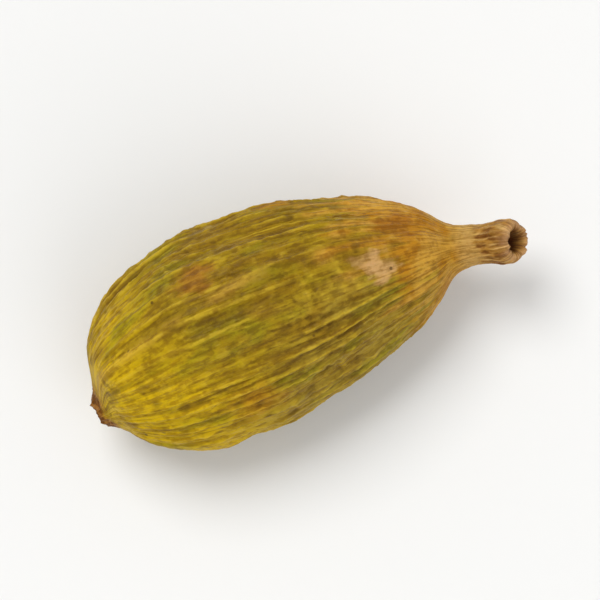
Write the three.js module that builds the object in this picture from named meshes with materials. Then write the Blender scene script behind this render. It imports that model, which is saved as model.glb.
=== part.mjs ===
// A dried green cardamom pod, lying on one of its three faces. Millimetres, +Z up.
// It lies along X, with the scar of its flower at low X and the stub of its stalk at high X.
// Angles round the pod start at +Y and turn towards +Z.
import * as THREE from "three";
import { mergeVertices } from "three/addons/utils/BufferGeometryUtils.js";

const { abs, cos, exp, max, PI, sin } = Math;
const { degToRad, euclideanModulo, lerp, smoothstep } = THREE.MathUtils;

// Husk: blunt behind the flower scar, widest before its middle, long and even towards the stalk.
// Its half width is the share of its length to one power times what is left to the other.
const huskLength = 12.3;
const huskWidth = 7;
const bluntness = 0.4;
const taper = 0.64;

// Three rounded angles, one on top and two low, each lifted a little above a round section.
// The section turns round where the pod is thinner than this radius.
const angles = [72, 204, 336].map(degToRad);
const angleLift = 0.26;
const angleSharpness = 4;
const angularRadius = 2.4;

// Flower scar: a low knob with a shallow dish, a little off the middle of the blunt end
const knobLength = 0.25;
const knobRadius = 0.4;
const knobOffset = 0.35;

// Stalk: a narrow neck, then a thicker stub that broke off with a small hollow in its end
const neckRadius = 0.6;
const stubRadius = 0.7;
const stubLength = 1.45;
const hollowDepth = 0.32;

// Middle line: bowed to one side, drooping at both ends, and the stalk bends aside and up
const bow = 0.37;
const droop = 0.25;
const bendStart = 10.4;
const bendSide = -0.035;
const bendUp = 0.028;

// Ribs: they sway from end to end, and every fifth part of the way round they are stronger
const ribCount = 33;
const ribHeight = 0.05;
const ribSharpness = 0.3;
const ribSway = 0.9;
const swayLength = 11.4;
const ribVariation = 0.35;
const variationWaves = 5;
const variationLength = 15.7;

// Seams: one wavy line along each angle, with swellings over the seeds on both sides of it
const seamHeight = 0.15;
const seamWidth = 0.32;
const seamWave = 0.2;
const seamWaveLength = 3;
const seamWander = 0.05;
const wanderLength = 9;
const seedSwelling = 0.045;
const seedLength = 2.7;
const seedSpread = degToRad(28);
const fullReliefRadius = 2.2;

// Folds from drying: where each one runs, with its angle, first X, last X and depth
const foldWidth = 0.46;
const foldEnd = 2;
const folds = [
  { at: degToRad(108), from: 1.6, to: 7.4, depth: 0.12 },
  { at: degToRad(158), from: 4.6, to: 11.4, depth: 0.13 },
  { at: degToRad(30), from: 3.4, to: 10.6, depth: 0.14 },
  { at: degToRad(246), from: 5.8, to: 11.6, depth: 0.13 },
  { at: degToRad(300), from: 1.4, to: 6.2, depth: 0.13 },
];

// Rest: how deep the lowest skin is pressed flat
const restDepth = 0.16;

// Mesh: points round the pod, points along the husk's outline between two shares of its half
// turn, and rows between two neighbouring points of the outline
const columns = 132;
const huskPoints = 11;
const huskTurns = [0.055, 0.88];
const rowsPerPoint = 2;

function sectionSize(angle) {
  return angles.reduce(
    (size, at) => size + angleLift * exp(angleSharpness * (cos(angle - at) - 1)),
    1,
  );
}

// How far the section reaches sideways, so that the husk has its width seen from above
function sectionReach() {
  let farthest = 0;
  for (let degree = 0; degree < 360; degree += 1) {
    const angle = degToRad(degree);
    farthest = max(farthest, sectionSize(angle) * abs(cos(angle)));
  }
  return farthest;
}

const sideReach = sectionReach();

// Half width between the seams at a share of the husk's length, 0 at the blunt end, 1 at the stalk
function huskRadius(share) {
  const swell = (at) => at ** bluntness * (1 - at) ** taper;
  const widest = bluntness / (bluntness + taper);
  return ((huskWidth / 2 - seamHeight) * swell(share)) / swell(widest);
}

// Half outline from the dish of the flower scar to the floor of the stub's hollow, as X and radius
function outline() {
  const scar = [
    [-0.6 * knobLength, 0],
    [-knobLength, 0.55 * knobRadius],
    [-0.9 * knobLength, knobRadius],
    [-0.3 * knobLength, 1.6 * knobRadius],
  ];
  const husk = [];
  for (let point = 0; point < huskPoints; point += 1) {
    const turn = lerp(...huskTurns, point / (huskPoints - 1));
    const share = (1 - cos(PI * turn)) / 2;
    husk.push([share * huskLength, huskRadius(share)]);
  }
  const stalk = [
    [0.12, 1.04 * neckRadius],
    [0.34, neckRadius],
    [0.54, 0.92 * stubRadius],
    [0.74, stubRadius],
    [0.91, 0.94 * stubRadius],
    [1, 0.76 * stubRadius],
    [1 - (0.1 * hollowDepth) / stubLength, 0.54 * stubRadius],
    [1 - (0.8 * hollowDepth) / stubLength, 0.34 * stubRadius],
    [1 - hollowDepth / stubLength, 0],
  ].map(([share, radius]) => [huskLength + share * stubLength, radius]);
  const points = [...scar, ...husk, ...stalk].map(([x, radius]) => new THREE.Vector3(x, radius, 0));
  return new THREE.CatmullRomCurve3(points, false, "centripetal");
}

// The middle of the pod at a distance along it, and the way ahead there
function middleLine(x) {
  const past = max(0, x - bendStart);
  const half = huskLength / 2;
  const away = (x - half) / half;
  const side = bendSide * past ** 2 - bow * away ** 2;
  const height = bendUp * past ** 3 - droop * away ** 2;
  const slopeSide = 2 * bendSide * past - (2 * bow * away) / half;
  const slopeUp = 3 * bendUp * past ** 2 - (2 * droop * away) / half;
  const ahead = new THREE.Vector3(1, slopeSide, slopeUp).normalize();
  return { place: new THREE.Vector3(x, side, height), ahead };
}

// The turn from one angle to another, between minus and plus half a turn
function turnBetween(angle, other) {
  return euclideanModulo(angle - other + PI, 2 * PI) - PI;
}

// A wave along the pod, from -1 to 1, that starts at a phase of its own
function wave(x, length, phase) {
  return sin((2 * PI * x) / length + phase);
}

// A smooth bump, 1 on its line and falling off over its width
function bump(away, width) {
  return exp(-((away / width) ** 2));
}

// Ribs: narrow crests and wide hollows, which thin out with the pod
function ribs(x, radius, angle) {
  const turn = ribCount * angle + ribSway * wave(x, swayLength, 2 * sin(angle));
  const strength = 1 - ribVariation + ribVariation * wave(x, variationLength, variationWaves * angle);
  const thinning = (2 * radius) / huskWidth;
  return ribHeight * thinning * strength * (cos(turn) + ribSharpness * cos(2 * turn));
}

// One angle of the husk: its seam, and on each side of the seam the swelling over the seeds
function seam(x, radius, angle, index) {
  const line = angles[index] + seamWander * wave(x, wanderLength, 2 * index);
  const turn = turnBetween(angle, line);
  const height = seamHeight * (1 + seamWave * wave(x, seamWaveLength, 2 * index));
  const swelling = seedSwelling * wave(x, seedLength, 2 * index);
  return height * bump(radius * turn, seamWidth) + swelling * bump(turn, seedSpread);
}

function foldDepth(x, radius, angle, fold) {
  const begins = smoothstep(x, fold.from, fold.from + foldEnd);
  const ends = smoothstep(x, fold.to - foldEnd, fold.to);
  return fold.depth * (begins - ends) * bump(radius * turnBetween(angle, fold.at), foldWidth);
}

// Height of the relief above the plain husk. It fades out towards both ends.
function relief(x, radius, angle) {
  let height = ribs(x, radius, angle);
  angles.forEach((_, index) => {
    height += seam(x, radius, angle, index);
  });
  for (const fold of folds) {
    height -= foldDepth(x, radius, angle, fold);
  }
  return height * smoothstep(radius, neckRadius / 2, fullReliefRadius);
}

// One point of the skin
function skinPoint(x, radius, angle) {
  const { place, ahead } = middleLine(x);
  const up = new THREE.Vector3(0, 0, 1).addScaledVector(ahead, -ahead.z).normalize();
  const side = new THREE.Vector3().crossVectors(up, ahead);
  const angular = smoothstep(radius, stubRadius, angularRadius);
  const section = lerp(1, sectionSize(angle) / sideReach, angular);
  const size = radius * section + relief(x, radius, angle);
  if (x < huskLength / 2) {
    place.y -= knobOffset * (1 - smoothstep(radius, knobRadius, 4 * knobRadius));
  }
  return place.addScaledVector(side, size * cos(angle)).addScaledVector(up, size * sin(angle));
}

// A sphere's grid of rows and columns, with each row drawn out to its ring of the pod
function skinGeometry() {
  const curve = outline();
  const rings = curve.getPoints(rowsPerPoint * (curve.points.length - 1));
  const geometry = new THREE.SphereGeometry(1, columns, rings.length - 1);
  rings.forEach((ring, row) => {
    for (let column = 0; column <= columns; column += 1) {
      const point = skinPoint(ring.x, ring.y, PI - (2 * PI * column) / columns);
      geometry.attributes.position.setXYZ(row * (columns + 1) + column, point.x, point.y, point.z);
    }
  });
  geometry.deleteAttribute("normal");
  geometry.deleteAttribute("uv");
  return mergeVertices(geometry, 1e-4);
}

// Lays the pod down: flat where it rests, with the origin under the middle of its box
function layDown(geometry) {
  geometry.computeBoundingBox();
  const floor = geometry.boundingBox.min.z + restDepth;
  const place = geometry.attributes.position;
  for (let index = 0; index < place.count; index += 1) {
    place.setZ(index, max(place.getZ(index), floor));
  }
  geometry.computeBoundingBox();
  const middle = geometry.boundingBox.getCenter(new THREE.Vector3());
  geometry.translate(-middle.x, -middle.y, -floor);
  geometry.computeVertexNormals();
  return geometry;
}

const driedHusk = new THREE.MeshStandardMaterial({ color: 0x98801c, roughness: 0.62, metalness: 0 });

const pod = new THREE.Mesh(layDown(skinGeometry()), driedHusk);
pod.name = "pod";

const cardamom = new THREE.Group();
cardamom.add(pod);

export default cardamom;
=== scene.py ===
# %% [markdown]
# # A dried green cardamom pod
#
# A cardamom pod is the dried fruit of a ginger-like plant. Its husk has three rounded
# angles, many fine ribs that run from end to end, and the stub of its stalk. This lesson
# builds the husk as one skin: half an outline is spun round, and then every point of the
# round body is pushed to its place by a formula. The colour and the finest grain come
# from a procedural material.

# %% Load the frame
import math

import bmesh
import bpy
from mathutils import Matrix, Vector, noise
from mathutils.bvhtree import BVHTree


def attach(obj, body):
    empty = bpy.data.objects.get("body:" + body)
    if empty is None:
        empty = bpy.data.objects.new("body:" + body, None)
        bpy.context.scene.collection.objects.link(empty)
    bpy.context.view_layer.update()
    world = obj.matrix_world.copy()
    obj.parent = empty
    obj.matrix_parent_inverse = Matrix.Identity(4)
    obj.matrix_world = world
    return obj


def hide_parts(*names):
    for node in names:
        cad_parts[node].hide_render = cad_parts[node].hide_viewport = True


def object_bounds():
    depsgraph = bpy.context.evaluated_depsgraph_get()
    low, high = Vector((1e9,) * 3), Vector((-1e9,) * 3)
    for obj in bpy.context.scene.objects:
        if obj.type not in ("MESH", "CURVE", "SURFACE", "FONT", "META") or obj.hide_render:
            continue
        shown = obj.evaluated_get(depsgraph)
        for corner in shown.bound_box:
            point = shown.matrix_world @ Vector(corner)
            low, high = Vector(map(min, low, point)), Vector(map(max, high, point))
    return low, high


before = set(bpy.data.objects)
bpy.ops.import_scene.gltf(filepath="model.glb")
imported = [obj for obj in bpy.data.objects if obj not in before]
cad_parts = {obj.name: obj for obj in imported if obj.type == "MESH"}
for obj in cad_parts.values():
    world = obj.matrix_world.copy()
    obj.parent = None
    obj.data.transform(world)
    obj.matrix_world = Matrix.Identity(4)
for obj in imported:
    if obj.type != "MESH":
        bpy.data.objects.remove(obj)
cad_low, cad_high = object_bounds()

MM = 0.001
print("the pod's box in mm:", [round((high - low) / MM, 2) for low, high in zip(cad_low, cad_high)])

# %% [markdown]
# ## The camera
#
# The pod is seen from straight above, with its length rising to the right by 23 degrees. A
# wide lens close by would also fill the picture with it, but would swell its top. A long
# lens far away keeps the tiny pod free of strong perspective, and its view is as wide as
# wanted at half the pod's height. The clip distances are given, because the defaults
# are meant for objects a hundred times larger.

# %% Camera
POD_TURN = math.radians(23.1)
CAMERA_HEIGHT = 300 * MM
VIEW_WIDTH = 18.6 * MM
SENSOR_WIDTH = 36
CLIP_START = 5 * MM
CLIP_END = 10

camera_data = bpy.data.cameras.new("camera")
camera_data.sensor_width = SENSOR_WIDTH
camera_data.lens = SENSOR_WIDTH * (CAMERA_HEIGHT - cad_high.z / 2) / VIEW_WIDTH
camera_data.clip_start = CLIP_START
camera_data.clip_end = CLIP_END
camera = bpy.data.objects.new("camera", camera_data)
camera.location = (0, 0, CAMERA_HEIGHT)
camera.rotation_euler = (0, 0, -POD_TURN)
bpy.context.collection.objects.link(camera)
bpy.context.scene.camera = camera
print("lens", round(camera_data.lens), "mm")

# %% [markdown]
# ## The half outline
#
# Seen from above, the husk swells quickly behind its blunt end and narrows slowly towards
# the stalk. It could be traced point by point, but one short formula gives that curve and
# two numbers change it: the share of the length to a small power, times what is left of it
# to a larger one. The scar of the flower and the stub of the stalk are too small and too
# odd for a formula, so they are a few listed points. A Catmull-Rom curve runs
# smoothly through all of them. All sizes are in millimetres.

# %% Outline of the husk
HUSK_LENGTH = 12.3
HUSK_WIDTH = 7
BLUNTNESS = 0.4
TAPER = 0.64
SEAM_HEIGHT = 0.15
KNOB_LENGTH = 0.25
KNOB_RADIUS = 0.4
KNOB_OFFSET = 0.35
NECK_RADIUS = 0.6
STUB_RADIUS = 0.7
STUB_LENGTH = 1.45
HOLLOW_DEPTH = 0.32
HUSK_POINTS = 11
HUSK_TURNS = (0.055, 0.88)


def mix(first, second, share):
    return first + (second - first) * share


def smoothstep(value, low, high):
    share = min(max((value - low) / (high - low), 0), 1)
    return share * share * (3 - 2 * share)


def swell(share):
    return share**BLUNTNESS * (1 - share) ** TAPER


def husk_radius(share):
    widest = BLUNTNESS / (BLUNTNESS + TAPER)
    return (HUSK_WIDTH / 2 - SEAM_HEIGHT) * swell(share) / swell(widest)


def outline_points():
    """Points of the half outline, as distance along the pod and radius."""
    points = [
        (-0.6 * KNOB_LENGTH, 0),
        (-KNOB_LENGTH, 0.55 * KNOB_RADIUS),
        (-0.9 * KNOB_LENGTH, KNOB_RADIUS),
        (-0.3 * KNOB_LENGTH, 1.6 * KNOB_RADIUS),
    ]
    for step in range(HUSK_POINTS):
        turn = mix(*HUSK_TURNS, step / (HUSK_POINTS - 1))
        share = (1 - math.cos(math.pi * turn)) / 2
        points.append((share * HUSK_LENGTH, husk_radius(share)))
    stub = [
        (0.12, 1.04 * NECK_RADIUS),
        (0.34, NECK_RADIUS),
        (0.54, 0.92 * STUB_RADIUS),
        (0.74, STUB_RADIUS),
        (0.91, 0.94 * STUB_RADIUS),
        (1, 0.76 * STUB_RADIUS),
        (1 - 0.1 * HOLLOW_DEPTH / STUB_LENGTH, 0.54 * STUB_RADIUS),
        (1 - 0.8 * HOLLOW_DEPTH / STUB_LENGTH, 0.34 * STUB_RADIUS),
        (1 - HOLLOW_DEPTH / STUB_LENGTH, 0),
    ]
    points += [(HUSK_LENGTH + share * STUB_LENGTH, radius) for share, radius in stub]
    return [Vector(point) for point in points]


# %% A smooth curve through the points
STEPS_PER_POINT = 40
ROWS = 270


def curve_between(before, start, end, after, share):
    """A point between start and end on the centripetal Catmull-Rom curve of four points."""
    knots = [0]
    for first, second in ((before, start), (start, end), (end, after)):
        knots.append(knots[-1] + math.sqrt((second - first).length))
    at = mix(knots[1], knots[2], share)

    def blend(first, second, low, high):
        return first.lerp(second, (at - knots[low]) / (knots[high] - knots[low]))

    early = blend(before, start, 0, 1)
    middle = blend(start, end, 1, 2)
    late = blend(end, after, 2, 3)
    return blend(blend(early, middle, 0, 2), blend(middle, late, 1, 3), 1, 2)


def smooth_outline():
    points = outline_points()
    padded = [2 * points[0] - points[1], *points, 2 * points[-1] - points[-2]]
    curve = [
        curve_between(*padded[i : i + 4], step / STEPS_PER_POINT)
        for i in range(len(points) - 1)
        for step in range(STEPS_PER_POINT)
    ]
    return [*curve, points[-1]]


def even_rows(curve):
    """Points at even distances along the curve, so that every part of the skin is as fine."""
    lengths = [0]
    for first, second in zip(curve, curve[1:]):
        lengths.append(lengths[-1] + (second - first).length)
    rows, at = [], 0
    for row in range(ROWS + 1):
        wanted = lengths[-1] * row / ROWS
        while at < len(curve) - 2 and lengths[at + 1] < wanted:
            at += 1
        share = (wanted - lengths[at]) / (lengths[at + 1] - lengths[at])
        rows.append(curve[at].lerp(curve[at + 1], share))
    return rows


outline = even_rows(smooth_outline())
step_length = (outline[1] - outline[0]).length
print("outline:", len(outline), "points,", round(step_length, 3), "mm apart")


# %% [markdown]
# ## Section and middle line
#
# Cut across, the husk is a rounded triangle. It could be lofted through drawn triangles, but
# three soft bumps on a circle, one for each angle, fade out more easily towards the round
# ends. The pod lies on the face between its two low angles, so the third angle is on top, a
# little to one side. The middle line is bowed to one side and droops at both ends, as the
# husk dried, and the stalk bends up.

# %% Section and middle line
ANGLES = [math.radians(turn) for turn in (72, 204, 336)]
ANGLE_LIFT = 0.26
ANGLE_SHARPNESS = 4
ANGULAR_RADIUS = 2.4
BOW = 0.37
DROOP = 0.25
BEND_START = 10.4
BEND_SIDE = -0.035
BEND_UP = 0.028


def section_size(angle):
    bumps = [math.exp(ANGLE_SHARPNESS * (math.cos(angle - at) - 1)) for at in ANGLES]
    return 1 + ANGLE_LIFT * sum(bumps)


def middle_line(x):
    """The middle of the pod at a distance along it, and the way ahead there."""
    past = max(0, x - BEND_START)
    half = HUSK_LENGTH / 2
    away = (x - half) / half
    side = BEND_SIDE * past**2 - BOW * away**2
    height = BEND_UP * past**3 - DROOP * away**2
    slope_side = 2 * BEND_SIDE * past - 2 * BOW * away / half
    slope_up = 3 * BEND_UP * past**2 - 2 * DROOP * away / half
    return Vector((x, side, height)), Vector((1, slope_side, slope_up)).normalized()


side_reach = max(section_size(turn) * abs(math.cos(turn)) for turn in map(math.radians, range(360)))
print("the section reaches", round(side_reach, 3), "times its plain radius sideways")

# %% [markdown]
# ## Ribs, seams and folds
#
# What gives the pod its look from a step away is relief that can be felt with a nail. Ribs
# run from end to end and sway a little. A seam, where the husk would split when ripe, runs
# along each angle. The seeds push the skin out in soft swellings, and drying pulls it in
# along a few folds. All of it could be sculpted by hand. As waves and bumps that are added
# to the radius, it can be repeated, and its height and number stay easy to change.

# %% Ribs, seams and folds
RIB_COUNT = 33
RIB_HEIGHT = 0.05
RIB_SWAY = 0.9
SWAY_LENGTH = 11.4
RIB_VARIATION = 0.35
VARIATION_WAVES = 5
VARIATION_LENGTH = 15.7
SEAM_WIDTH = 0.32
SEAM_WAVE = 0.2
SEAM_WAVE_LENGTH = 3
SEAM_WANDER = 0.05
WANDER_LENGTH = 9
SEED_SWELLING = 0.045
SEED_LENGTH = 2.7
SEED_SPREAD = math.radians(28)
FULL_RELIEF_RADIUS = 2.2
FOLD_WIDTH = 0.46
FOLD_END = 2
FOLDS = [  # angle, first and last distance along the pod, depth
    (math.radians(108), 1.6, 7.4, 0.12),
    (math.radians(158), 4.6, 11.4, 0.13),
    (math.radians(30), 3.4, 10.6, 0.14),
    (math.radians(246), 5.8, 11.6, 0.13),
    (math.radians(300), 1.4, 6.2, 0.13),
]


def wave(x, length, phase):
    return math.sin(2 * math.pi * x / length + phase)


def bump(away, width):
    return math.exp(-((away / width) ** 2))


def turn_between(angle, other):
    return (angle - other + math.pi) % (2 * math.pi) - math.pi


def seam_turn(x, angle, index):
    """The turn from one of the three seams, which wander a little, to an angle."""
    return turn_between(angle, ANGLES[index] + SEAM_WANDER * wave(x, WANDER_LENGTH, 2 * index))


def seam(x, radius, angle, index):
    turn = seam_turn(x, angle, index)
    height = SEAM_HEIGHT * (1 + SEAM_WAVE * wave(x, SEAM_WAVE_LENGTH, 2 * index))
    swelling = SEED_SWELLING * wave(x, SEED_LENGTH, 2 * index)
    return height * bump(radius * turn, SEAM_WIDTH) + swelling * bump(turn, SEED_SPREAD)


def fold_depth(x, radius, angle, fold):
    at, first, last, depth = fold
    span = smoothstep(x, first, first + FOLD_END) - smoothstep(x, last - FOLD_END, last)
    return depth * span * bump(radius * turn_between(angle, at), FOLD_WIDTH)


# %% [markdown]
# ## The fine relief of a dried skin
#
# Close up, no two ribs are alike: they are narrow veins that waver, fade and come back, with
# a weaker one here and there between two strong ones. A net of thin lines joins them, and
# the skin itself is pitted and crinkled like dry paper, with shallow dents. A flat texture
# wrapped round the pod could push the skin out too, but would show a joint where its edges
# meet. Here smooth noise does it: its sample point goes round a circle as the angle goes
# round the pod, so the pattern has no joint, and where it moves slowly along the pod it is
# drawn out like fibres.

# %% Noise that follows the fibres
CREST_SHARPNESS = 2.4
CREST_PEAK = 2.6
RIB_WAVER = 1.2
RIB_UNEVENNESS = 0.9
WEAKEST_RIB = 0.4
SMALL_RIBS = 0.45
SMALL_RIB_WAVER = 2.4
VEIN_HEIGHT = 0.028
VEIN_SHARPNESS = 7
PEBBLE_HEIGHT = 0.035
PEBBLE_SIZE = 0.24
PEBBLE_STRETCH = 0.42
WRINKLE_HEIGHT = 0.05
DENT_DEPTH = 0.1
PATTERN_STEP = 31.7


def grown_noise(x, angle, length, grains, seed):
    """Noise from -1 to 1: one cell is length mm long, and grains sets how many go round."""
    start = PATTERN_STEP * seed
    return noise.noise((x / length + start, grains * math.cos(angle), grains * math.sin(angle)))


def crest_height(turn, sharpness):
    """A crest at every full turn: 1 on the crest, and nearly 0 half a turn away."""
    return math.exp(sharpness * (math.cos(turn) - 1))


def ribs(x, radius, angle):
    """Strong ribs, with weaker ones that come and go half way between them."""
    sway = RIB_SWAY * wave(x, SWAY_LENGTH, 2 * math.sin(angle))
    waver = RIB_WAVER * grown_noise(x, angle, length=3, grains=2.4, seed=1)
    turn = RIB_COUNT * angle + sway + waver
    strength = 1 - RIB_VARIATION + RIB_VARIATION * wave(x, VARIATION_LENGTH, VARIATION_WAVES * angle)
    strength += RIB_UNEVENNESS * grown_noise(x, angle, length=2.2, grains=4, seed=2)
    between = SMALL_RIBS * max(0, 0.5 + 1.6 * grown_noise(x, angle, length=1.7, grains=5, seed=13))
    crest = crest_height(turn, CREST_SHARPNESS)
    crest += between * crest_height(turn + SMALL_RIB_WAVER * waver + math.pi, 2 * CREST_SHARPNESS)
    thinning = 2 * radius / HUSK_WIDTH
    return RIB_HEIGHT * thinning * max(strength, WEAKEST_RIB) * (CREST_PEAK * crest - 1)


def veins(x, angle):
    """Thin raised lines where a noise drawn out along the pod passes zero."""
    long_veins = abs(grown_noise(x, angle, length=1.6, grains=7, seed=3))
    short_veins = abs(grown_noise(x, angle, length=0.8, grains=11, seed=4))
    first = max(0, 1 - VEIN_SHARPNESS * long_veins)
    second = max(0, 1 - VEIN_SHARPNESS * short_veins)
    return VEIN_HEIGHT * (first * first + 0.6 * second * second)


def pebbles(x, radius, angle):
    """Pits and grains, more than twice as long along the pod as across it."""
    stretched = PEBBLE_STRETCH * x
    spot = Vector((stretched, radius * math.cos(angle), radius * math.sin(angle))) / PEBBLE_SIZE
    coarse = noise.noise(spot)
    return PEBBLE_HEIGHT * (coarse + 0.6 * noise.noise(2.1 * spot))


def wrinkles(x, angle):
    """Short wrinkles across the fibres, in patches."""
    patches = smoothstep(grown_noise(x, angle, length=2.5, grains=2, seed=5), -0.1, 0.4)
    return WRINKLE_HEIGHT * patches * grown_noise(x, angle, length=0.22, grains=7, seed=6)


def husk_relief(x, radius, angle):
    """Height of all relief of the husk, of its ribs alone and of its finest grain alone."""
    lines = ribs(x, radius, angle)
    fine = veins(x, angle) + pebbles(x, radius, angle) + wrinkles(x, angle)
    dents = DENT_DEPTH * grown_noise(x, angle, length=2.4, grains=1.4, seed=7)
    height = lines + fine + dents
    height += sum(seam(x, radius, angle, index) for index in range(len(ANGLES)))
    height -= sum(fold_depth(x, radius, angle, fold) for fold in FOLDS)
    return height * smoothstep(radius, NECK_RADIUS / 2, FULL_RELIEF_RADIUS), lines, fine


# %% [markdown]
# ## The stub and the scar
#
# The stalk tore off, so its stub is coarse: a bundle of stiff fibres under a thin bark, with
# an uneven rim round a hollow. The flower left a small rough knob at the blunt end, with a
# ragged ring of dry remains round a dish. Both could be pieces of their own, but they grew
# out of the husk, so they stay in its skin. Strong short noise, which only acts where the
# pod is thin, makes them coarse. The rim and the scar are moved along the pod, because
# there the skin faces that way.

# %% Stub and scar relief
STUB_FIBRES = 17
STUB_ROUGHNESS = 0.035
RIM_START = HUSK_LENGTH + 0.75 * STUB_LENGTH
RIM_RAGGEDNESS = 0.1
SCAR_ROUGHNESS = 0.09
SCAR_GRAIN = 0.2
SCAR_RING = 0.05
SCAR_RING_WIDTH = 0.15


def stub_relief(x, radius, angle):
    """Fibres that waver along the stub, under a coarse bark."""
    waver = 3 * grown_noise(x, angle, length=0.7, grains=2, seed=8)
    fibres = 0.35 * math.cos(STUB_FIBRES * angle + waver)
    bark = grown_noise(x, angle, length=0.3, grains=2.5, seed=9)
    bark += 0.6 * grown_noise(x, angle, length=0.16, grains=5, seed=12)
    return STUB_ROUGHNESS * (fibres + bark) * smoothstep(radius, 0.1, NECK_RADIUS)


def rim_shift(x, angle):
    """How far the torn rim of the stub stands out or falls back along the stalk."""
    ragged = grown_noise(x, angle, length=4, grains=2.5, seed=10)
    ragged += 0.5 * grown_noise(x, angle, length=4, grains=7, seed=11)
    return RIM_RAGGEDNESS * ragged * smoothstep(x, RIM_START, HUSK_LENGTH + STUB_LENGTH)


def scar_shift(x, radius, angle):
    """How far the rough scar of the flower stands out beyond the blunt end."""
    if x > HUSK_LENGTH / 2:
        return 0
    spot = Vector((x, radius * math.cos(angle), radius * math.sin(angle))) / SCAR_GRAIN
    crumbs = SCAR_ROUGHNESS * (noise.noise(spot) + 0.6 * noise.noise(2.3 * spot))
    broken = 1 + 2 * grown_noise(x, angle, length=4, grains=3, seed=14)
    ring = SCAR_RING * bump(radius - KNOB_RADIUS, SCAR_RING_WIDTH) * broken
    return (crumbs + ring) * (1 - smoothstep(radius, 1.3 * KNOB_RADIUS, 2.3 * KNOB_RADIUS))


# %% [markdown]
# ## Spin the outline and push the skin out
#
# A cylinder or a ball could be shaped by proportional editing. Here the half outline is drawn
# as a chain of edges and spun once round its axis, so that every point already knows its
# distance along the pod, its radius and its angle. The formula turns those three numbers
# into a place. The same step keeps the numbers that the material needs later.

# %% Spin the outline
COLUMNS = 360
MERGE_DISTANCE = 1e-5

skin = bmesh.new()
chain = [skin.verts.new((point.x, 0, point.y)) for point in outline]
for first, second in zip(chain, chain[1:]):
    skin.edges.new((first, second))
bmesh.ops.spin(
    skin,
    geom=skin.verts[:] + skin.edges[:],
    cent=(0, 0, 0),
    axis=(1, 0, 0),
    angle=2 * math.pi,
    steps=COLUMNS,
    use_merge=True,
)
bmesh.ops.remove_doubles(skin, verts=skin.verts, dist=MERGE_DISTANCE)
bmesh.ops.recalc_face_normals(skin, faces=skin.faces)
print("spun skin:", len(skin.verts), "points,", len(skin.faces), "faces")

# %% Push every point to the skin
RIM_RADIUS = 0.74 * STUB_RADIUS
RIM_WIDTH = 0.12

grain_layer = skin.verts.layers.float_vector.new("grain")
crest_layer = skin.verts.layers.float.new("crest")
fine_layer = skin.verts.layers.float.new("fine")
seam_layer = skin.verts.layers.float.new("seam")
rim_layer = skin.verts.layers.float.new("rim")
hollow_layer = skin.verts.layers.float.new("hollow")


def skin_point(x, radius, angle):
    """One point of the skin, with the height of its ribs and of its finest grain."""
    place, ahead = middle_line(x)
    up = Vector((0, 0, 1))
    up = (up - ahead * up.dot(ahead)).normalized()
    side = up.cross(ahead)
    angular = smoothstep(radius, STUB_RADIUS, ANGULAR_RADIUS)
    relief, lines, fine = husk_relief(x, radius, angle)
    on_stub = smoothstep(x, HUSK_LENGTH - 0.4, HUSK_LENGTH + 0.2)
    on_thin_end = 1 - smoothstep(radius, 0.5, 1.2)
    relief += min(on_stub + on_thin_end, 1) * stub_relief(x, radius, angle)
    size = radius * mix(1, section_size(angle) / side_reach, angular) + relief
    if x < HUSK_LENGTH / 2:
        place.y -= KNOB_OFFSET * (1 - smoothstep(radius, KNOB_RADIUS, 4 * KNOB_RADIUS))
    place += ahead * (rim_shift(x, angle) - scar_shift(x, radius, angle))
    place += side * (size * math.cos(angle)) + up * (size * math.sin(angle))
    return place, lines, fine


for vert in skin.verts:
    x, radius = vert.co.x, math.hypot(vert.co.y, vert.co.z)
    angle = math.atan2(vert.co.z, vert.co.y)
    vert.co, lines, fine = skin_point(x, radius, angle)
    vert[grain_layer] = (x, math.cos(angle), math.sin(angle))
    vert[crest_layer] = lines / RIB_HEIGHT
    vert[fine_layer] = fine / PEBBLE_HEIGHT
    from_seams = [radius * seam_turn(x, angle, index) for index in range(len(ANGLES))]
    vert[seam_layer] = max(bump(away, SEAM_WIDTH / 2) for away in from_seams)
    near_end = smoothstep(x, RIM_START, HUSK_LENGTH + 0.9 * STUB_LENGTH)
    vert[rim_layer] = near_end * bump(radius - RIM_RADIUS, RIM_WIDTH)
    if x > HUSK_LENGTH:
        vert[hollow_layer] = 1 - smoothstep(radius, 0.3 * STUB_RADIUS, 0.62 * STUB_RADIUS)

# %% [markdown]
# ## Lay the pod down
#
# The pod rests on the lowest skin of one face, which its weight has pressed flat. The place
# could be set on the object, but then object coordinates would start from another point
# than the frame's, so every point of the skin moves instead. Its middle comes over the
# middle of the solid pod's box, and its finest crests a hair above the top of that box,
# because the solid has no such crests. Nothing lies below the floor. Last, millimetres
# become metres.

# %% Lay it down
CREST_LIFT = 0.05

lowest = Vector(min(vert.co[axis] for vert in skin.verts) for axis in range(3))
highest = Vector(max(vert.co[axis] for vert in skin.verts) for axis in range(3))
wanted = (cad_low + cad_high) / (2 * MM)
shift = wanted - (lowest + highest) / 2
shift.z = cad_high.z / MM + CREST_LIFT - highest.z
bmesh.ops.translate(skin, verts=skin.verts, vec=shift)
for vert in skin.verts:
    vert.co.z = max(vert.co.z, 0)
bmesh.ops.scale(skin, verts=skin.verts, vec=(MM, MM, MM))
print("moved by", [round(value, 2) for value in shift], "mm")

skin_tree = BVHTree.FromBMesh(skin)
pod_mesh = bpy.data.meshes.new("cardamom_pod")
skin.to_mesh(pod_mesh)
skin.free()
pod_mesh.shade_smooth()
cardamom_pod = bpy.data.objects.new("cardamom_pod", pod_mesh)
bpy.context.collection.objects.link(cardamom_pod)
pod_mesh.calc_loop_triangles()
print("pod:", len(pod_mesh.loop_triangles), "triangles")

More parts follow.
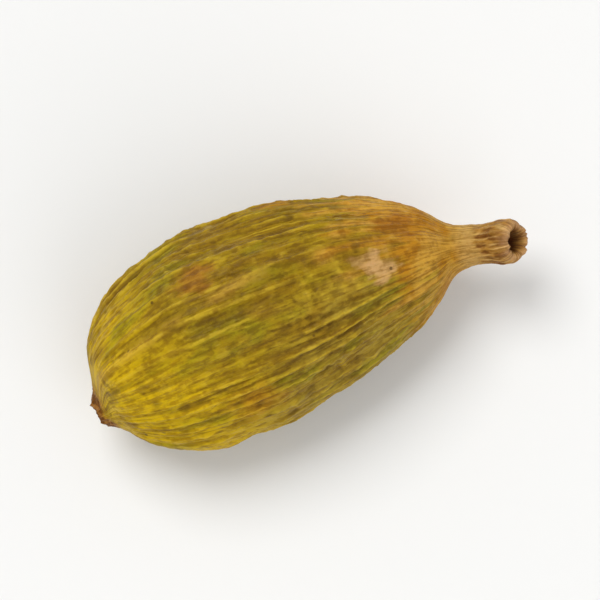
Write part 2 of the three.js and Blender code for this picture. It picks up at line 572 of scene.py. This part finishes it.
# %% [markdown]
# ## Building blocks for the material
#
# The husk's colour has many layers, which could be wired up by hand in the node editor. Small
# helpers keep the recipe short and readable instead. They turn a screen colour into the
# linear colour that a shader works with, add a node and plug in its inputs, lay a colour
# over another, and do a little arithmetic on patterns.

# %% Node helpers
def paint(red, green, blue):
    """A screen colour of 0 to 255 as a linear shader colour."""
    shares = [value / 255 for value in (red, green, blue)]
    linear = [s / 12.92 if s <= 0.04045 else ((s + 0.055) / 1.055) ** 2.4 for s in shares]
    return (*linear, 1)


husk_finish = bpy.data.materials.new("cardamom_husk")
husk_finish.use_nodes = True
tree = husk_finish.node_tree
tree.nodes.clear()


def add(kind, inputs, **settings):
    """Adds a node. An input is a value, or the output of another node."""
    made = tree.nodes.new("ShaderNode" + kind)
    for name, value in settings.items():
        setattr(made, name, value)
    for name, value in inputs.items():
        if isinstance(value, bpy.types.NodeSocket):
            tree.links.new(value, made.inputs[name])
        else:
            made.inputs[name].default_value = value
    return made


def lay(under, over, share, how="MIX"):
    """One colour laid over another, as much as share says."""
    factor, first, second = 0, 6, 7
    inputs = {factor: share, first: under, second: over}
    made = add("Mix", inputs, data_type="RGBA", blend_type=how)
    return made.outputs[2]


def ramp(value, low, high, start=0.0, end=1.0):
    """A smooth step from start to end as a value goes from low to high."""
    limits = {"Value": value, "From Min": low, "From Max": high, "To Min": start, "To Max": end}
    return add("MapRange", limits, interpolation_type="SMOOTHSTEP").outputs["Result"]


def times(first, second):
    return add("Math", {0: first, 1: second}, operation="MULTIPLY").outputs[0]


def plus(first, second):
    return add("Math", {0: first, 1: second}, operation="ADD").outputs[0]


def swing(value, amount):
    """A noise of 0 to 1, moved to both sides of zero and scaled to an amount."""
    return times(plus(value, -0.5), amount)


# %% [markdown]
# ## Three ways to find a place on the skin
#
# Spots and stains sit in space, so they read object coordinates, turned into millimetres.
# Fibres follow the skin, so they read the grain that each point keeps: its distance along
# the pod and its place on a circle. The height of the ribs and of the finest grain is kept
# too: crests are painted paler than the grooves and pits between them, partly as wear and
# dust and partly as painted highlight and painted shade.

# %% Places for the patterns
object_place = add("TexCoord", {}).outputs["Object"]
place_mm = add("Mapping", {"Vector": object_place, "Scale": (1000, 1000, 1000)}).outputs["Vector"]
grain = add("Attribute", {}, attribute_name="grain").outputs["Vector"]
grain_parts = add("SeparateXYZ", {"Vector": grain})
along, across = grain_parts.outputs["X"], grain_parts.outputs["Y"]
crest, fine_height, seam_line, rim_ring, hollow_shade_mask = [
    add("Attribute", {}, attribute_name=name).outputs["Fac"]
    for name in ("crest", "fine", "seam", "rim", "hollow")
]


def speckle(size, seed, detail=3.0):
    """Cloudy noise in space, with cells of a size in mm."""
    inputs = {"Vector": place_mm, "W": seed, "Scale": 1 / size, "Detail": detail}
    return add("TexNoise", inputs, noise_dimensions="4D").outputs["Fac"]


def fibre(length, grains, seed, detail=2.0):
    """Noise drawn out along the pod: length in mm, and how many grains go round."""
    stretched = add("Mapping", {"Vector": grain, "Scale": (1 / length, grains, grains)})
    inputs = {"Vector": stretched.outputs["Vector"], "W": seed, "Scale": 1.0, "Detail": detail}
    return add("TexNoise", inputs, noise_dimensions="4D").outputs["Fac"]


# %% [markdown]
# ## Ground colours of the husk
#
# The pod is mustard yellow round its blunt end and a duller olive brown further on, greyer
# on one side. A little leaf green is left in streaks. Broad noise breaks the borders between
# the colours.

# %% Ground colours
MUSTARD = paint(203, 167, 2)
OLIVE = paint(158, 129, 10)
BROWN_OLIVE = paint(140, 106, 6)
GREY_OLIVE = paint(168, 140, 46)
LEAF_GREEN = paint(140, 134, 8)
CREST_WEAR_AND_HIGHLIGHT = paint(208, 176, 44)
GROOVE_DUST_AND_SHADE = paint(104, 76, 4)

wander = swing(speckle(2.6, 1), 6.0)
drift = plus(plus(along, times(across, 1.6)), wander)
colour = lay(MUSTARD, OLIVE, ramp(drift, 1.2, 5.0))
greyer = plus(plus(times(across, -4.0), along), wander)
colour = lay(colour, GREY_OLIVE, ramp(greyer, 6.0, 10.0, end=0.7))
streaks = plus(times(speckle(1.1, 2, detail=5.0), 0.5), times(fibre(1.5, 6.0, 18, detail=5.0), 0.5))
browner = plus(plus(streaks, times(across, 0.05)), ramp(along, 2.0, 5.5, start=-0.06, end=0.02))
colour = lay(colour, BROWN_OLIVE, ramp(browner, 0.45, 0.57, end=0.75))
colour = lay(colour, LEAF_GREEN, ramp(fibre(2.2, 2.6, 3, detail=4.0), 0.5, 0.66, end=0.55))

# %% [markdown]
# ## Crests, grooves and seams
#
# Crests are painted paler, partly as rubbed wear and partly as painted highlight, and
# grooves and pits are painted darker, partly as dust and partly as painted shade. The seams
# dry to a thin buff line that breaks off here and there.

# %% Crests, grooves and seams
SEAM_BUFF = paint(206, 162, 62)

# Paler crests and darker grooves and pits follow the relief: wear and dust, with painted highlight
# and painted shade.
colour = lay(colour, CREST_WEAR_AND_HIGHLIGHT, ramp(crest, 0.2, 1.2, end=0.5))
colour = lay(colour, GROOVE_DUST_AND_SHADE, ramp(crest, -0.25, -0.8, end=0.4))
colour = lay(colour, CREST_WEAR_AND_HIGHLIGHT, ramp(fine_height, 0.4, 1.3, end=0.35))
colour = lay(colour, GROOVE_DUST_AND_SHADE, ramp(fine_height, -0.2, -0.8, end=0.5))
broken = ramp(fibre(1.4, 3.0, 4), 0.42, 0.6, end=0.45)
colour = lay(colour, SEAM_BUFF, times(seam_line, broken))

# %% [markdown]
# ## Shoulder, stub and scar
#
# Near the stalk the olive has turned to a patchy tan, and the stub is warm brown bark with a
# pale rim round a hollow, which is painted dark brown as painted shade. The other end has a
# red-brown spot where the flower was.

# %% Ends of the pod
SHOULDER_TAN = paint(206, 154, 58)
SHOULDER_ORANGE = paint(184, 124, 22)
NECK_CREAM = paint(212, 174, 104)
BARK = paint(186, 136, 58)
BARK_DARK = paint(132, 84, 30)
BARK_PALE = paint(216, 174, 104)
RIM_CREAM = paint(214, 168, 120)
HOLLOW_PAINTED_SHADE = paint(88, 44, 16)
SCAR_BROWN = paint(112, 58, 16)
SCAR_PALE = paint(176, 118, 56)

tongues = swing(fibre(3.0, 7.0, 20, detail=4.0), 7.0)
patches = swing(speckle(0.9, 5, detail=4.0), 3.5)
shoulder = plus(plus(along, times(across, 0.8)), plus(tongues, patches))
tan = lay(SHOULDER_TAN, SHOULDER_ORANGE, ramp(speckle(0.8, 6), 0.45, 0.6))
colour = lay(colour, tan, ramp(shoulder, 8.6, 11.0, end=0.85))
colour = lay(colour, NECK_CREAM, ramp(along, HUSK_LENGTH - 0.5, HUSK_LENGTH + 0.1, end=0.6))
bark = lay(BARK, BARK_DARK, ramp(fibre(0.5, 4.0, 14, detail=4.0), 0.42, 0.6))
bark = lay(bark, BARK_PALE, ramp(fibre(0.7, 6.0, 7), 0.52, 0.7))
ragged = plus(along, swing(fibre(0.6, 4.0, 15), 1.2))
colour = lay(colour, bark, ramp(ragged, HUSK_LENGTH + 0.3, HUSK_LENGTH + 0.6))
colour = lay(colour, RIM_CREAM, times(rim_ring, 0.7))
# The hollow of the stub is painted dark brown: painted shade.
colour = lay(colour, HOLLOW_PAINTED_SHADE, hollow_shade_mask)
rough_end = plus(along, swing(speckle(0.4, 8), 0.6))
scar = lay(SCAR_BROWN, SCAR_PALE, ramp(speckle(0.2, 17, detail=4.0), 0.46, 0.62))
colour = lay(colour, scar, ramp(rough_end, 0.14, -0.12, end=0.92))

# %% [markdown]
# ## Stains, scabs and specks
#
# Each stain is placed by its distance from the pod's middle and its angle round it, and a
# ray from outside finds the skin there. The distance from that place, frayed by noise, says
# how strongly the colour shows. Pores and specks are the cells of Voronoi patterns: only
# those whose random colour is strong enough are painted. Last, short fibres and clouds
# dull the whole colour a little here and there.

# %% Stains
STAIN_BROWN = paint(164, 106, 32)
SCAB_TAN = paint(204, 160, 104)
OUTSIDE = 20 * MM
STAINS = [  # distance from the middle, angle round the pod, radius, colour, strength
    (-2.7, 50, 0.85, STAIN_BROWN, 0.6),
    (3.7, 40, 0.9, STAIN_BROWN, 0.65),
    (2.75, 94, 0.6, SCAB_TAN, 0.85),
    (2.3, 84, 0.5, SCAB_TAN, 0.6),
    (-2.4, 152, 1.1, SHOULDER_ORANGE, 0.45),
    (-5.6, 300, 0.9, STAIN_BROWN, 0.5),
    (1.6, 225, 1.0, STAIN_BROWN, 0.5),
    (0.4, 350, 0.8, SHOULDER_ORANGE, 0.55),
    (-3.2, 255, 0.7, SCAB_TAN, 0.6),
]


def on_skin(distance, angle):
    """The place in mm where a ray from outside meets the skin."""
    middle = Vector((distance * MM, 0, cad_high.z / 2))
    outwards = Vector((0, math.cos(math.radians(angle)), math.sin(math.radians(angle))))
    return skin_tree.ray_cast(middle + outwards * OUTSIDE, -outwards)[0] / MM


fray = plus(swing(speckle(0.45, 9, detail=4.0), 1.2), swing(fibre(0.6, 12.0, 19, detail=3.0), 1.0))
for distance, angle, radius, tint, strength in STAINS:
    spot = tuple(on_skin(distance, angle))
    away = add("VectorMath", {0: place_mm, 1: spot}, operation="DISTANCE").outputs["Value"]
    colour = lay(colour, tint, ramp(plus(away, fray), radius, 0.3 * radius, end=strength))
print("stains:", len(STAINS))


# %% Pores and specks
def dots(spacing, radius, rarity, strength):
    """Round dots: spacing in mm, radius as a share of it, and rarity from 0, common, to 1."""
    cells = add("TexVoronoi", {"Vector": place_mm, "Scale": 1 / spacing})
    chance = add("SeparateColor", {"Color": cells.outputs["Color"]}).outputs["Red"]
    shape = ramp(cells.outputs["Distance"], radius, 0.4 * radius, end=strength)
    return times(shape, ramp(chance, rarity, 1.0))


PORE_BROWN = paint(112, 84, 8)
SPECK_BROWN = paint(66, 42, 14)
colour = lay(colour, PORE_BROWN, dots(spacing=0.75, radius=0.34, rarity=0.35, strength=0.6))
colour = lay(colour, SPECK_BROWN, dots(spacing=0.6, radius=0.13, rarity=0.7, strength=0.8))

# %% Mottling
DULL = paint(206, 197, 170)
CLEAR = paint(255, 255, 255)

dull = plus(times(speckle(0.18, 10, detail=3.0), 0.35), times(fibre(0.8, 24.0, 16, detail=3.0), 0.65))
colour = lay(colour, lay(DULL, CLEAR, ramp(dull, 0.41, 0.57)), 1.0, how="MULTIPLY")

# %% [markdown]
# ## Shine and the finest grain
#
# A dried husk is like stiff paper: mostly matt, with a faint shine on rubbed crests. Light
# goes a little way into it, so a trace of subsurface scattering softens thin edges. Its
# radius is a fraction of a millimetre. Fibres finer than the mesh are bump only.

# %% Shader
surface = add("BsdfPrincipled", {"Base Color": colour})
rough = ramp(fibre(0.9, 14.0, 11), 0.35, 0.65, start=0.4, end=0.62)
tree.links.new(rough, surface.inputs["Roughness"])
surface.inputs["Subsurface Weight"].default_value = 0.08
surface.inputs["Subsurface Radius"].default_value = (1.0, 0.7, 0.2)
surface.inputs["Subsurface Scale"].default_value = 0.3 * MM
surface.inputs["Specular IOR Level"].default_value = 0.12

fine_fibres = plus(fibre(0.9, 34.0, 12, detail=3.0), times(speckle(0.12, 13), 0.7))
grain_bump = add("Bump", {"Height": fine_fibres, "Strength": 1.0, "Distance": 0.05 * MM})
tree.links.new(grain_bump.outputs["Normal"], surface.inputs["Normal"])
output = add("OutputMaterial", {"Surface": surface.outputs["BSDF"]})
cardamom_pod.data.materials.append(husk_finish)
print("husk finish:", len(tree.nodes), "nodes")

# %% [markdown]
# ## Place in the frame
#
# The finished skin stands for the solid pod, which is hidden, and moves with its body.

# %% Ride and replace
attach(cardamom_pod, "root")
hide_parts("pod")

# %% [markdown]
# ## Floor and light
#
# A photographer lays a small thing on a sheet of pale paper that curves up behind it, so
# that no horizon shows. Here half the sheet's profile, a straight line and a quarter circle,
# is spun round the pod, so the paper curves up on all sides. Two suns with wide discs give
# the soft light: unlike near lamps they light the whole sheet evenly. The key stands at the
# upper left of the picture, and the pale surroundings fill the shadows.

# %% Floor
FLAT_RADIUS = 280 * MM
CURVE_RADIUS = 150 * MM
CURVE_STEPS = 24
FLOOR_COLUMNS = 96
PAPER_WHITE = (0.82, 0.82, 0.81, 1)

sheet = bmesh.new()
profile = [sheet.verts.new((0, 0, 0))]
for step in range(CURVE_STEPS + 1):
    rise = math.pi / 2 * step / CURVE_STEPS
    across_sheet = FLAT_RADIUS + CURVE_RADIUS * math.sin(rise)
    profile.append(sheet.verts.new((across_sheet, 0, CURVE_RADIUS * (1 - math.cos(rise)))))
for first, second in zip(profile, profile[1:]):
    sheet.edges.new((first, second))
bmesh.ops.spin(
    sheet,
    geom=sheet.verts[:] + sheet.edges[:],
    cent=(0, 0, 0),
    axis=(0, 0, 1),
    angle=2 * math.pi,
    steps=FLOOR_COLUMNS,
    use_merge=True,
)
bmesh.ops.remove_doubles(sheet, verts=sheet.verts, dist=MERGE_DISTANCE)
bmesh.ops.recalc_face_normals(sheet, faces=sheet.faces)
if min(sheet.faces, key=lambda face: face.calc_center_median().length).normal.z < 0:
    bmesh.ops.reverse_faces(sheet, faces=sheet.faces)
paper_data = bpy.data.meshes.new("paper_sheet")
sheet.to_mesh(paper_data)
sheet.free()
paper_data.shade_smooth()
paper_sheet = bpy.data.objects.new("paper_sheet", paper_data)
bpy.context.collection.objects.link(paper_sheet)
paper = bpy.data.materials.new("pale_paper")
paper.use_nodes = True
paper_shader = paper.node_tree.nodes["Principled BSDF"]
paper_shader.inputs["Base Color"].default_value = PAPER_WHITE
paper_shader.inputs["Roughness"].default_value = 0.9
paper_shader.inputs["Specular IOR Level"].default_value = 0.1
paper_data.materials.append(paper)
print("paper sheet:", round(2 * (FLAT_RADIUS + CURVE_RADIUS) / MM), "mm wide")

# %% Lights
def soft_sun(name, turn, rise, disc, strength):
    """A sun with a wide disc, turned from the picture's right hand and raised, in degrees."""
    data = bpy.data.lights.new(name, "SUN")
    data.angle = math.radians(disc)
    data.energy = strength
    sun = bpy.data.objects.new(name, data)
    way = math.radians(turn) - POD_TURN
    flat = math.cos(math.radians(rise))
    towards = Vector((flat * math.cos(way), flat * math.sin(way), math.sin(math.radians(rise))))
    sun.rotation_euler = (-towards).to_track_quat("-Z", "Y").to_euler()
    bpy.context.collection.objects.link(sun)


soft_sun("key", turn=125, rise=58, disc=32, strength=1.9)
soft_sun("fill", turn=-50, rise=40, disc=50, strength=0.7)

surroundings = bpy.data.worlds.new("surroundings")
surroundings.use_nodes = True
sky = surroundings.node_tree.nodes["Background"]
sky.inputs["Color"].default_value = (1, 1, 1, 1)
sky.inputs["Strength"].default_value = 0.5
bpy.context.scene.world = surroundings
bpy.context.scene.view_settings.view_transform = "Standard"
